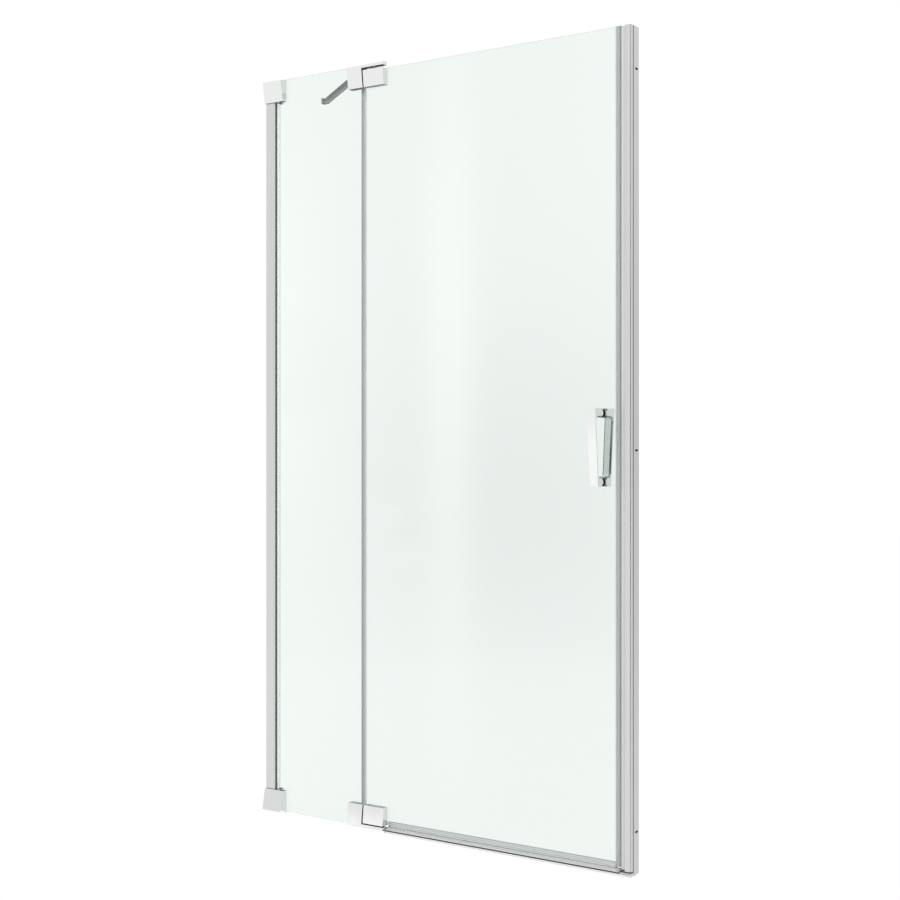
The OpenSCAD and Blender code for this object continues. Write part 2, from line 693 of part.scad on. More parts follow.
threshold_outline = [
    [-threshold_out, 0], [threshold_back, 0], [threshold_back, threshold_edge],
    [face, threshold_h], [-nose_in, threshold_h], [-threshold_out, threshold_edge],
    for (at = [[0, 0], [1, 0], [1, 1], [0, 1]])
        [-threshold_out + at.x * threshold_groove.x, threshold_edge - threshold_land - at.y * threshold_groove.y]
];

// Room for the end block on the bar's foot, and for the wall channel behind it
module threshold_bar() color("silver") difference() {
    along_x(threshold_x0, threshold_x1) polygon(threshold_outline);
    translate([closing_x0, -threshold_out * 2, threshold_foot])
        cube([closing_w * 2, threshold_out * 4, threshold_h]);
    wall_channel_room();
}

module wall_channel_room()
    translate([channel_r_x0 - fit - butt_gap, -channel_r_front - butt_gap, channel_r_z0 - butt_gap])
        cube([channel_r_w * 2, threshold_out * 4, threshold_h]);

end_block_in = 3.5;    // the end block starts this far in from the closing profile's edge

// Thin cap beside the hinge, and a block between the bar's foot and the closing profile
module threshold_end_caps() color("dimgray") {
    along_x(threshold_x0 - cap_t, threshold_x0) polygon(threshold_outline);
    difference() {
        translate([closing_x0 + end_block_in, -closing_out, threshold_foot]) cube([
            threshold_x1 - closing_x0 - end_block_in, closing_out + threshold_back,
            closing_z0 - butt_gap - threshold_foot
        ]);
        wall_channel_room();
    }
}

// Door pane and its leaves

module door_glass() color("lightcyan", 0.5) difference() {
    along_y(-face, face) translate([door_x0, door_z0]) square([door_x1 - door_x0, door_z1 - door_z0]);
    for (x = leaf_screw_x) {
        rod_y(x, leaf_mid(low_gap), -face - eps, face + eps, sleeve_r + sleeve_fit);
        at_top() rod_y(x, leaf_mid(arm_gap), -face - eps, face + eps, sleeve_r + sleeve_fit);
    }
    for (z = stud_z) rod_y(handle_x, z, -face - eps, face + eps, stud_sleeve_r + sleeve_fit);
}

module hinge_leaf(gap) difference() {
    intersection() {
        along_y(-leaf_out, -pad_face) polygon(rounded(
            box_outline(leaf_x0, leaf_z0(gap), leaf_x1, hinge_h), ease));
        along_x(leaf_x0, leaf_x1) polygon(rounded([
            [-leaf_out, leaf_z0(gap)], [-pad_face, leaf_z0(gap)], [-pad_face, hinge_h], [-leaf_in, hinge_h]
        ], [ease, 0, 0, ease]));
        along_z(0, hinge_h) polygon(rounded(
            box_outline(leaf_x0, -leaf_out, leaf_x1, -pad_face), [ease, ease, 0, 0]));
    }
    rod_z(pivot_x, -pivot_y, leaf_z0(gap) - eps, leaf_z0(gap) + pin_depth + tip_room, bush_r);
    for (x = leaf_screw_x)
        rod_y(x, leaf_mid(gap), -pad_face - screw_deep - tip_room, -pad_face + eps, screw_d / 2 + screw_fit);
}

module hinge_leaf_top() color("gainsboro") at_top() hinge_leaf(arm_gap);

module hinge_leaf_bottom() color("gainsboro") hinge_leaf(low_gap);

module leaf_plate(gap) difference() {
    along_y(pad_face, plate_face) polygon(rounded(box_outline(
        pivot_x - leaf_plate_w / 2, leaf_mid(gap) - leaf_plate_h / 2,
        pivot_x + leaf_plate_w / 2, leaf_mid(gap) + leaf_plate_h / 2), plate_r));
    for (x = leaf_screw_x) plate_screw_hole(x, leaf_mid(gap));
}

module leaf_plate_top() color("gainsboro") at_top() leaf_plate(arm_gap);

module leaf_plate_bottom() color("gainsboro") leaf_plate(low_gap);

module leaf_pads(gap) difference() {
    union() {
        along_y(-pad_face, -face) polygon(box_outline(
            leaf_x0 + ease, max(leaf_z0(gap) + ease, door_z0), leaf_x1 - ease, hinge_h - ease));
        along_y(face, pad_face) polygon(rounded(box_outline(
            pivot_x - leaf_plate_w / 2, leaf_mid(gap) - leaf_plate_h / 2,
            pivot_x + leaf_plate_w / 2, leaf_mid(gap) + leaf_plate_h / 2), plate_r));
    }
    for (x = leaf_screw_x) rod_y(x, leaf_mid(gap), -plate_face, plate_face, screw_d / 2 + screw_fit);
}

module hinge_leaf_pads() color("dimgray") {
    leaf_pads(low_gap);
    at_top() leaf_pads(arm_gap);
}

module hinge_leaf_screws() color("silver") for (x = leaf_screw_x) {
    clamp_screw(x, leaf_mid(low_gap));
    at_top() clamp_screw(x, leaf_mid(arm_gap));
}

module hinge_leaf_sleeves() color("dimgray") for (x = leaf_screw_x) {
    sleeve(x, leaf_mid(low_gap), screw_d / 2 + screw_fit, sleeve_r);
    at_top() sleeve(x, leaf_mid(arm_gap), screw_d / 2 + screw_fit, sleeve_r);
}

module leaf_bush(gap) difference() {
    union() {
        rod_z(pivot_x, -pivot_y, leaf_z0(gap) - flange_t, leaf_z0(gap), flange_d / 2);
        rod_z(pivot_x, -pivot_y, leaf_z0(gap) - flange_t, leaf_z0(gap) + pin_depth, bush_r);
    }
    rod_z(pivot_x, -pivot_y, leaf_z0(gap) - flange_t - eps, leaf_z0(gap) + pin_depth + eps, pin_d / 2 + run_fit);
}

module leaf_bush_top() color("dimgray") at_top() leaf_bush(arm_gap);

module leaf_bush_bottom() color("dimgray") leaf_bush(low_gap);

// Handle: a wedge-shaped grip on each side of the pane, drawn on the inner side

module handle_half() difference() {
    union() {
        intersection() {
            along_x(handle_x - handle_w / 2, handle_x + handle_w / 2) difference() {
                polygon(rounded([
                    [post_face, handle_z0], [handle_out_low, handle_z0],
                    [handle_out, handle_z1], [post_face, handle_z1]
                ], [0, ease, ease, 0]));
                polygon(rounded([
                    [post_face - eps, handle_z0 + post_low], [handle_out_low - grip_t_low, handle_z0 + post_low],
                    [handle_out - grip_t, handle_z1 - post_top], [post_face - eps, handle_z1 - post_top]
                ], [0, gap_r, gap_r, 0], 6));
            }
            along_y(0, handle_out) polygon([
                [handle_x - handle_w_low / 2, handle_z0], [handle_x + handle_w_low / 2, handle_z0],
                [handle_x + handle_w / 2, handle_z1], [handle_x - handle_w / 2, handle_z1]
            ]);
        }
        for (z = stud_z) rod_y(handle_x, z, ring_face, post_face + eps, boss_d / 2);
    }
    for (z = stud_z) rod_y(handle_x, z, ring_face - eps, stud_tip + tip_room, stud_d / 2 + screw_fit);
}

module handle_outer() color("gainsboro") mirror([0, 1, 0]) handle_half();

module handle_inner() color("gainsboro") handle_half();

module handle_studs() color("silver") for (z = stud_z) rod_y(handle_x, z, -stud_tip, stud_tip, stud_d / 2);

module handle_rings() color("dimgray") for (z = stud_z, y = [-ring_face, face]) difference() {
    rod_y(handle_x, z, y, y + ring_t, boss_d / 2);
    rod_y(handle_x, z, y - eps, y + ring_t + eps, stud_d / 2 + screw_fit);
}

module handle_sleeves() color("dimgray") for (z = stud_z)
    sleeve(handle_x, z, stud_d / 2 + screw_fit, stud_sleeve_r);

// Seals on the door pane

seal_z0 = threshold_h + seal_gap;    // lowest point of the door's seals

module door_magnet_seal() color("silver", 0.7) along_z(door_z0 - clip_t, door_z1) difference() {
    union() {
        translate([door_x1 - magnet_grip, -face - clip_t])
            square([magnet_grip + clip_t, glass_t + 2 * clip_t]);
        translate([door_x1, -magnet_half]) polygon(rounded(
            box_outline(0, 0, magnet_nose, 2 * magnet_half), clip_t));
    }
    translate([door_x1 - magnet_grip - eps, -face]) square([magnet_grip + eps, glass_t]);
    translate([door_x1 + magnet_nose - clip_t - magnet_t - 2 * fit, -magnet_y - fit])
        square([magnet_t + 2 * fit, 2 * (magnet_y + fit)]);
}

module door_magnet_strip() color("dimgray") along_z(door_z0 - clip_t, door_z1)
    translate([door_x1 + magnet_nose - clip_t - magnet_t - fit, -magnet_y]) square([magnet_t, 2 * magnet_y]);

rib_pitch = (door_z0 + bottom_grip - seal_z0) / bottom_ribs;
rib_r = 0.6;

module door_bottom_seal() color("silver", 0.7)
    along_x(arm_x1 + butt_gap, door_x1 - magnet_grip - butt_gap) {
        difference() {
            translate([-face - clip_t, seal_z0])
                square([glass_t + 2 * clip_t, door_z0 + bottom_grip - seal_z0]);
            translate([-face, door_z0]) square([glass_t, bottom_grip + eps]);
            // chamber under the pane
            translate([-face, seal_z0 + clip_t]) square([glass_t, door_z0 - seal_z0 - 2 * clip_t]);
        }
        // ribs along the front
        for (i = [1 : bottom_ribs])
            translate([-face - clip_t, seal_z0 + (i - 0.5) * rib_pitch]) circle(r = rib_r, $fn = 12);
        // drip lip towards the shower
        polygon([
            [face, door_z0 - clip_t / 2], [face + 2 * clip_t, seal_z0], [face + 4 * clip_t, seal_z0],
            [face + 4 * clip_t, seal_z0 + clip_t / 2], [face + clip_t / 2, door_z0 + clip_t]
        ]);
    }

wall_channel_left();
glazing_gasket_front();
glazing_gasket_back();
fixed_glass();
setting_blocks();
corner_block_top();
corner_block_bottom();
corner_block_pads();
corner_block_screws();
hinge_body_top();
hinge_body_bottom();
hinge_plate_top();
hinge_plate_bottom();
hinge_body_pads();
hinge_body_screws();
hinge_body_sleeves();
pivot_pin_top();
pivot_pin_bottom();
thrust_washer();
panel_edge_seal();
stabiliser_bar();
stabiliser_wall_flange();
stabiliser_screws();
wall_channel_right();
closing_profile();
closing_profile_caps();
profile_lock_screws();
frame_magnet_strip();
threshold_bar();
threshold_end_caps();
door_glass();
hinge_leaf_top();
hinge_leaf_bottom();
leaf_plate_top();
leaf_plate_bottom();
hinge_leaf_pads();
hinge_leaf_screws();
hinge_leaf_sleeves();
leaf_bush_top();
leaf_bush_bottom();
handle_outer();
handle_inner();
handle_studs();
handle_rings();
handle_sleeves();
door_magnet_seal();
door_magnet_strip();
door_bottom_seal();
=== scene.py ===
# Looks of the hinged shower door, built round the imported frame
import math

import bmesh
import bpy
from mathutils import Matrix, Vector


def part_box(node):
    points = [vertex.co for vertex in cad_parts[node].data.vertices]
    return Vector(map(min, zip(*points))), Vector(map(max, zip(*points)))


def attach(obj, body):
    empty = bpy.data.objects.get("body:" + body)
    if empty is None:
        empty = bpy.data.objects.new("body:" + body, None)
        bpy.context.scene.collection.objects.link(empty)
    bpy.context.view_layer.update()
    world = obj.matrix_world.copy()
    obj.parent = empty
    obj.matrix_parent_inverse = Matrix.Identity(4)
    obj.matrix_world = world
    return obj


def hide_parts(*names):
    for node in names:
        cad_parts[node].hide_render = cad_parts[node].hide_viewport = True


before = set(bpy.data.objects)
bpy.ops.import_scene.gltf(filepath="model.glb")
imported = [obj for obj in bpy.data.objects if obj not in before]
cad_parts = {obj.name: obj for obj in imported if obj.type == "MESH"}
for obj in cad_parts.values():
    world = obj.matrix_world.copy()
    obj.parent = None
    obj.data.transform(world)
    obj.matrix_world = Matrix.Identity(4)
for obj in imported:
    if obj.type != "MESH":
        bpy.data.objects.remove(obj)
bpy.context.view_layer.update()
print("stage: frame loaded")

scene = bpy.context.scene

# Camera at the photograph's place

cameraLook = {"place": (2.157, -3.059, 0.9778), "turn": 34.69, "lens": 60.44, "sensor": 36, "shiftY": -5 / 900}

cameraData = bpy.data.cameras.new("camera")
cameraData.lens = cameraLook["lens"]
cameraData.sensor_width = cameraLook["sensor"]
cameraData.shift_y = cameraLook["shiftY"]
camera = bpy.data.objects.new("camera", cameraData)
camera.location = cameraLook["place"]
camera.rotation_euler = (math.pi / 2, 0, math.radians(cameraLook["turn"]))
scene.collection.objects.link(camera)
scene.camera = camera

# Node helpers

def addNode(tree, kind, inputs=None, **settings):
    node = tree.nodes.new(kind)
    for name, value in settings.items():
        setattr(node, name, value)
    for name, value in (inputs or {}).items():
        socket = node.inputs[name]
        if isinstance(value, bpy.types.NodeSocket):
            tree.links.new(value, socket)
        else:
            socket.default_value = value
    return node


def grey(value, alpha=1):
    return (value, value, value, alpha)


def newMaterial(name, **shaderValues):
    material = bpy.data.materials.new(name)
    material.use_nodes = True
    shader = material.node_tree.nodes["Principled BSDF"]
    for key, value in shaderValues.items():
        shader.inputs[key.replace("_", " ")].default_value = value
    return material, material.node_tree, shader


def objectPoint(tree, stretch=(1, 1, 1), shift=(0, 0, 0)):
    coord = addNode(tree, "ShaderNodeTexCoord")
    return addNode(tree, "ShaderNodeMapping", {
        "Vector": coord.outputs["Object"], "Scale": stretch, "Location": shift}).outputs["Vector"]


def calc(tree, operation, first, second=0.0):
    return addNode(tree, "ShaderNodeMath", {0: first, 1: second}, operation=operation).outputs["Value"]


def noise(tree, scale, detail=3, stretch=(1, 1, 1), roughness=0.5):
    return addNode(tree, "ShaderNodeTexNoise", {
        "Vector": objectPoint(tree, stretch), "Scale": scale, "Detail": detail, "Roughness": roughness})


def ramp(tree, factor, low, high, fromLow=0.3, fromHigh=0.7):
    return addNode(tree, "ShaderNodeMapRange", {
        "Value": factor, "From Min": fromLow, "From Max": fromHigh, "To Min": low, "To Max": high}).outputs["Result"]


def colourRamp(tree, factor, stops):
    node = addNode(tree, "ShaderNodeValToRGB", {"Fac": factor})
    while len(node.color_ramp.elements) < len(stops):
        node.color_ramp.elements.new(0.5)
    for element, (place, colour) in zip(node.color_ramp.elements, stops):
        element.position = place
        element.color = colour
    return node.outputs["Color"]


def bumpFrom(tree, shader, height, strength, distance):
    bump = addNode(tree, "ShaderNodeBump", {"Height": height, "Strength": strength, "Distance": distance})
    tree.links.new(bump.outputs["Normal"], shader.inputs["Normal"])


# World: a white background and a pale studio that metal reflects

studio = {
    "light": 0.93, "bodyLight": 0.75,
    # darker and lighter patches of the room: the share of the light that each leaves or adds,
    # from the angle where the patch starts to the angle where it is full
    "patches": [
        {"name": "behind", "way": (-0.58, 0.74, -0.34), "starts": 52, "full": 37, "left": 0.17},
        {"name": "side", "way": (-0.9, 0.36, 0.25), "starts": 22, "full": 10, "left": 0.14},
        {"name": "doorway", "way": (0.85, -0.52, 0), "starts": 24, "full": 11, "left": 0.06},
        {"name": "backRight", "way": (0.57, 0.82, 0), "starts": 30, "full": 15, "left": 0.88},
        {"name": "backMiddle", "way": (0.2, 0.98, 0), "starts": 15, "full": 8, "left": 0.45},
        {"name": "frontLow", "way": (-0.65, -0.757, 0.051), "starts": 2.6, "full": 1.2, "left": 0.84},
        {"name": "bodyTop", "way": (-0.602, -0.798, -0.026), "starts": 1.1, "full": 0.35, "left": 0.9},
        {"name": "bodyFoot", "way": (-0.601, -0.7983, -0.0485), "starts": 0.7, "full": 0.15, "left": 1.12},
        {"name": "leafTop", "way": (-0.592, -0.8036, -0.0575), "starts": 0.7, "full": 0.2, "left": 0.91},
        {"name": "leafFoot", "way": (-0.5915, -0.803, -0.0735), "starts": 0.75, "full": 0.2, "left": 1.12},
    ],
    # level bands of the front wall, by height of the view's way
    "front": (-0.569, -0.822, 0), "frontReach": (0.75, 0.9),
    "bands": [(-0.3, 1.04), (-0.24, 1.0), (-0.2, 1.04), (-0.17, 1.11), (-0.146, 1.12), (-0.134, 1.01), (-0.06, 1.0)],
}


def ofHeight(tree, height, stops, low=-0.3, high=0.3):
    place = addNode(tree, "ShaderNodeMapRange", {"Value": height, "From Min": low, "From Max": high}).outputs["Result"]
    return colourRamp(tree, place, [((z - low) / (high - low), grey(value)) for z, value in stops])


def makeWorld(look):
    world = bpy.data.worlds.new("studio")
    world.use_nodes = True
    scene.world = world
    tree = world.node_tree
    tree.nodes.clear()
    way = addNode(tree, "ShaderNodeTexCoord").outputs["Generated"]
    height = addNode(tree, "ShaderNodeSeparateXYZ", {"Vector": way}).outputs["Z"]

    def along(direction):
        unit = tuple(Vector(direction).normalized())
        return addNode(tree, "ShaderNodeVectorMath", {0: way, 1: unit}, operation="DOT_PRODUCT").outputs["Value"]

    mirrored = look["light"]
    for patch in look["patches"]:
        left = addNode(tree, "ShaderNodeMapRange", {
            "Value": along(patch["way"]), "From Min": math.cos(math.radians(patch["starts"])),
            "From Max": math.cos(math.radians(patch["full"])), "To Min": 1, "To Max": patch["left"]},
            interpolation_type="SMOOTHSTEP").outputs["Result"]
        mirrored = calc(tree, "MULTIPLY", left, mirrored)
    inFront = addNode(tree, "ShaderNodeMapRange", {
        "Value": along(look["front"]), "From Min": look["frontReach"][0],
        "From Max": look["frontReach"][1]}, interpolation_type="SMOOTHSTEP")
    band = addNode(tree, "ShaderNodeMapRange", {
        "Value": inFront.outputs["Result"], "To Min": 1, "To Max": ofHeight(tree, height, look["bands"])})
    mirrored = calc(tree, "MULTIPLY", mirrored, band.outputs["Result"])
    # white straight ahead and through glass, the studio in anything that mirrored the ray on its way
    path = addNode(tree, "ShaderNodeLightPath")
    seen = calc(tree, "MAXIMUM", path.outputs["Is Camera Ray"], path.outputs["Is Transmission Ray"])
    bodyOrWhite = addNode(tree, "ShaderNodeMapRange", {"Value": seen, "To Min": look["bodyLight"], "To Max": 1})
    strength = addNode(tree, "ShaderNodeMapRange", {
        "Value": calc(tree, "GREATER_THAN", path.outputs["Glossy Depth"], 0.5),
        "To Min": bodyOrWhite.outputs["Result"], "To Max": mirrored})
    background = addNode(tree, "ShaderNodeBackground", {"Color": grey(1), "Strength": strength.outputs["Result"]})
    output = addNode(tree, "ShaderNodeOutputWorld")
    tree.links.new(background.outputs["Background"], output.inputs["Surface"])


makeWorld(studio)

# Floor and lamps

floorLook = {"size": 14, "tone": 0.86, "shown": 0.94, "glow": 1.02, "drop": 0.0005}
lamps = [
    {"name": "key", "place": (-1.6, -3.2, 3.4), "aim": (0, 0, 1), "size": 2.4, "power": 55},
    {"name": "fill", "place": (3.0, -1.6, 2.2), "aim": (0, 0, 0.9), "size": 2.0, "power": 22},
    {"name": "back", "place": (0.8, 3.2, 2.8), "aim": (0, 0, 1), "size": 2.4, "power": 22},
]


def makeFloor(look):
    mesh = bpy.data.meshes.new("floor")
    bm = bmesh.new()
    bmesh.ops.create_grid(bm, x_segments=1, y_segments=1, size=look["size"])
    bmesh.ops.translate(bm, verts=bm.verts, vec=(0, 0, -look["drop"]))
    bm.to_mesh(mesh)
    bm.free()
    floor = bpy.data.objects.new("floor", mesh)
    scene.collection.objects.link(floor)
    material, tree, shader = newMaterial("floorWhite", Base_Color=grey(look["tone"]), Roughness=0.9)
    path = addNode(tree, "ShaderNodeLightPath")
    straight = calc(tree, "MAXIMUM", path.outputs["Is Camera Ray"], path.outputs["Is Transmission Ray"])
    white = addNode(tree, "ShaderNodeEmission", {"Color": grey(1), "Strength": look["glow"]})
    mix = addNode(tree, "ShaderNodeMixShader", {
        "Fac": calc(tree, "MULTIPLY", straight, look["shown"]), 1: shader.outputs["BSDF"],
        2: white.outputs["Emission"]})
    # metal mirrors the studio, also below the skyline
    clear = addNode(tree, "ShaderNodeBsdfTransparent")
    mirrorMix = addNode(tree, "ShaderNodeMixShader", {
        "Fac": calc(tree, "GREATER_THAN", path.outputs["Glossy Depth"], 0.5),
        1: mix.outputs["Shader"], 2: clear.outputs["BSDF"]})
    tree.links.new(mirrorMix.outputs["Shader"], tree.nodes["Material Output"].inputs["Surface"])
    mesh.materials.append(material)


makeFloor(floorLook)
for lamp in lamps:
    data = bpy.data.lights.new(lamp["name"], "AREA")
    data.size = lamp["size"]
    data.energy = lamp["power"]
    light = bpy.data.objects.new(lamp["name"], data)
    light.location = lamp["place"]
    light.rotation_euler = (Vector(lamp["aim"]) - Vector(lamp["place"])).to_track_quat("-Z", "Y").to_euler()
    light.visible_camera = light.visible_transmission = light.visible_glossy = False
    scene.collection.objects.link(light)
print("stage: studio ready")

# Finishes

def chromeFinish():
    material, tree, shader = newMaterial("polishedChrome", Metallic=1)
    cloud = noise(tree, 9, 2)
    shader.inputs["Specular Tint"].default_value = grey(1)
    tree.links.new(colourRamp(tree, cloud.outputs["Fac"], [
        (0.3, (0.885, 0.89, 0.892, 1)), (0.7, (0.905, 0.905, 0.9, 1))]), shader.inputs["Base Color"])
    tree.links.new(ramp(tree, noise(tree, 60, 4).outputs["Fac"], 0.03, 0.07), shader.inputs["Roughness"])
    bumpFrom(tree, shader, noise(tree, 900, 2).outputs["Fac"], 0.02, 0.0002)
    return material


def aluminiumFinish(name, stretch, low, high, metal=1.0, rough=0.2):
    # drawn along the profile, so the grain is stretched that way
    material, tree, shader = newMaterial(name, Metallic=metal)
    grain = noise(tree, 220, 5, stretch=stretch, roughness=0.6)
    tree.links.new(colourRamp(tree, grain.outputs["Fac"], [(0.3, low), (0.7, high)]), shader.inputs["Base Color"])
    tree.links.new(ramp(tree, grain.outputs["Fac"], rough, rough + 0.07), shader.inputs["Roughness"])
    bumpFrom(tree, shader, grain.outputs["Fac"], 0.02, 0.0002)
    return material


def steelFinish():
    material, tree, shader = newMaterial("turnedSteel", Metallic=1)
    grain = noise(tree, 700, 3)
    tree.links.new(colourRamp(tree, grain.outputs["Fac"], [
        (0.3, (0.58, 0.58, 0.57, 1)), (0.7, (0.68, 0.68, 0.67, 1))]), shader.inputs["Base Color"])
    tree.links.new(ramp(tree, grain.outputs["Fac"], 0.2, 0.35), shader.inputs["Roughness"])
    bumpFrom(tree, shader, grain.outputs["Fac"], 0.1, 0.0002)
    return material


glassLook = {
    "colour": [(0.864, 0.918, 0.886, 1), (0.872, 0.924, 0.893, 1)], "through": (0.9, 0.95, 0.92, 1),
    # painted reflections: broad soft patches of tone over the panes, the last one a painted light streak:
    # centre and reach in X and Z, and how much lighter
    "patches": [{"centre": (0.22, 0.84), "reach": (0.44, 0.42), "lighter": -0.085},
                {"centre": (-0.6, 1.3), "reach": (0.28, 0.64), "lighter": 0.072},
                {"centre": (-0.6, 0.2), "reach": (0.3, 0.4), "lighter": 0.022},
                {"centre": (0.62, 1.75), "reach": (0.25, 0.45), "lighter": 0.02},
                {"centre": (0.0416, 1.15), "reach": (0.078, 0.7), "lighter": 0.075}],
}


def glassFinish(look):
    material, tree, shader = newMaterial("clearGlass", Transmission_Weight=1, IOR=1.5)
    film = noise(tree, 1.3, 3)
    colour = colourRamp(tree, film.outputs["Fac"], [(0.3, look["colour"][0]), (0.7, look["colour"][1])])
    # painted reflections: each patch lightens or darkens the glass's colour
    tone = 1.0
    for patch in look["patches"]:
        (x, z), (wide, high) = patch["centre"], patch["reach"]
        point = objectPoint(tree, (1 / wide, 0, 1 / high), (-x / wide, 0, -z / high))
        away = addNode(tree, "ShaderNodeVectorMath", {0: point, 1: point}, operation="DOT_PRODUCT").outputs["Value"]
        here = calc(tree, "EXPONENT", calc(tree, "MULTIPLY", away, -1.0))
        tone = calc(tree, "ADD", calc(tree, "MULTIPLY", here, patch["lighter"]), tone)
    toned = addNode(tree, "ShaderNodeVectorMath", {0: colour, "Scale": tone}, operation="SCALE")
    tree.links.new(toned.outputs["Vector"], shader.inputs["Base Color"])
    shader.inputs["Roughness"].default_value = 0
    # light reaches what stands behind a pane straight through it
    path = addNode(tree, "ShaderNodeLightPath")
    through = addNode(tree, "ShaderNodeBsdfTransparent", {"Color": look["through"]})
    mix = addNode(tree, "ShaderNodeMixShader", {
        "Fac": path.outputs["Is Shadow Ray"], 1: shader.outputs["BSDF"], 2: through.outputs["BSDF"]})
    tree.links.new(mix.outputs["Shader"], tree.nodes["Material Output"].inputs["Surface"])
    return material


def glassEdgeFinish(name, glow):
    # ground and softly polished edge of a pane, with a painted glow from its emission
    material, tree, shader = newMaterial(name, Transmission_Weight=0.8, IOR=1.5, Emission_Strength=glow)
    grind = noise(tree, 800, 3)
    tree.links.new(colourRamp(tree, grind.outputs["Fac"], [
        (0.3, (0.87, 0.94, 0.91, 1)), (0.7, (0.92, 0.97, 0.95, 1))]), shader.inputs["Base Color"])
    tree.links.new(ramp(tree, grind.outputs["Fac"], 0.35, 0.45), shader.inputs["Roughness"])
    bumpFrom(tree, shader, grind.outputs["Fac"], 0.1, 0.0001)
    return material


def rubberFinish(name, low, high):
    material, tree, shader = newMaterial(name, Specular_IOR_Level=0.3)
    grain = noise(tree, 900, 3)
    tree.links.new(colourRamp(tree, grain.outputs["Fac"], [(0.3, grey(low)), (0.7, grey(high))]),
                   shader.inputs["Base Color"])
    tree.links.new(ramp(tree, grain.outputs["Fac"], 0.55, 0.8), shader.inputs["Roughness"])
    bumpFrom(tree, shader, grain.outputs["Fac"], 0.25, 0.0002)
    return material


def plasticFinish(name, low, high, gloss=0.5):
    material, tree, shader = newMaterial(name, Specular_IOR_Level=gloss)
    grain = noise(tree, 1300, 2)
    tree.links.new(colourRamp(tree, grain.outputs["Fac"], [(0.3, grey(low)), (0.7, grey(high))]),
                   shader.inputs["Base Color"])
    tree.links.new(ramp(tree, grain.outputs["Fac"], 0.4, 0.55), shader.inputs["Roughness"])
    bumpFrom(tree, shader, grain.outputs["Fac"], 0.12, 0.00015)
    return material


def sealFinish(name, low, high, stretch, transmission):
    # clear soft seal: fine lines along the extrusion
    material, tree, shader = newMaterial(name, IOR=1.5, Transmission_Weight=transmission)
    lines = noise(tree, 500, 3, stretch=stretch)
    tree.links.new(colourRamp(tree, lines.outputs["Fac"], [(0.3, low), (0.7, high)]), shader.inputs["Base Color"])
    tree.links.new(ramp(tree, lines.outputs["Fac"], 0.25, 0.4), shader.inputs["Roughness"])
    bumpFrom(tree, shader, lines.outputs["Fac"], 0.15, 0.0002)
    return material


endCapLook = {"top": 0.0085, "dark": (0.05, 0.07), "pale": (0.5, 0.56)}


def endCapFinish(look):
    # dark cap on a pale foot
    material, tree, shader = newMaterial("endCap")
    height = addNode(tree, "ShaderNodeSeparateXYZ", {"Vector": objectPoint(tree)}).outputs["Z"]
    grain = noise(tree, 1300, 2)
    dark, pale = (colourRamp(tree, grain.outputs["Fac"], [(0.3, grey(look[part][0])), (0.7, grey(look[part][1]))])
                  for part in ("dark", "pale"))
    colour = addNode(tree, "ShaderNodeMix", {
        "Factor": calc(tree, "GREATER_THAN", height, look["top"])}, data_type="RGBA")
    tree.links.new(pale, colour.inputs[6])
    tree.links.new(dark, colour.inputs[7])
    tree.links.new(colour.outputs[2], shader.inputs["Base Color"])
    tree.links.new(ramp(tree, grain.outputs["Fac"], 0.4, 0.55), shader.inputs["Roughness"])
    return material


bottomSealLook = {"low": (0.78, 0.83, 0.81, 1), "high": (0.85, 0.89, 0.875, 1),
                  "lowest": 0.0118, "pitch": 0.00417, "ribEdge": (0.3, 0.42), "ribPaintedShade": 0.66}


def bottomSealFinish(look):
    # clear wall with painted shade: dark level lines where its inner ribs show through
    material, tree, shader = newMaterial("bottomSeal", IOR=1.5, Transmission_Weight=0.2)
    height = addNode(tree, "ShaderNodeSeparateXYZ", {"Vector": objectPoint(tree)}).outputs["Z"]
    count = calc(tree, "DIVIDE", calc(tree, "SUBTRACT", height, look["lowest"]), look["pitch"])
    fromRib = calc(tree, "ABSOLUTE", calc(tree, "SUBTRACT", calc(tree, "FRACT", count), 0.5))
    rib = addNode(tree, "ShaderNodeMapRange", {
        "Value": fromRib, "From Min": look["ribEdge"][0], "From Max": look["ribEdge"][1],
        "To Min": 1, "To Max": look["ribPaintedShade"]})
    lines = noise(tree, 500, 3, stretch=(0.01, 1, 1))
    colour = colourRamp(tree, lines.outputs["Fac"], [(0.3, look["low"]), (0.7, look["high"])])
    toned = addNode(tree, "ShaderNodeVectorMath", {0: colour, "Scale": rib.outputs["Result"]}, operation="SCALE")
    tree.links.new(toned.outputs["Vector"], shader.inputs["Base Color"])
    tree.links.new(ramp(tree, lines.outputs["Fac"], 0.25, 0.4), shader.inputs["Roughness"])
    bumpFrom(tree, shader, lines.outputs["Fac"], 0.15, 0.0002)
    return material


def milkySealFinish():
    # soft white strip that light soaks into and runs along, with a painted glow from its emission
    material, tree, shader = newMaterial("milkySeal", Subsurface_Weight=1, Subsurface_Scale=0.01,
                                         Subsurface_Radius=(1, 1, 1), Emission_Strength=0.42)
    lines = noise(tree, 500, 3, stretch=(1, 1, 0.01))
    tree.links.new(colourRamp(tree, lines.outputs["Fac"], [
        (0.3, (0.93, 0.95, 0.94, 1)), (0.7, (0.97, 0.98, 0.975, 1))]), shader.inputs["Base Color"])
    tree.links.new(ramp(tree, lines.outputs["Fac"], 0.3, 0.4), shader.inputs["Roughness"])
    return material


flangeLook = {"span": (-0.55, -0.54), "tones": [(0.4, 0.5), (0.42, 0.05), (0.62, 0.05), (0.66, 0.27)]}


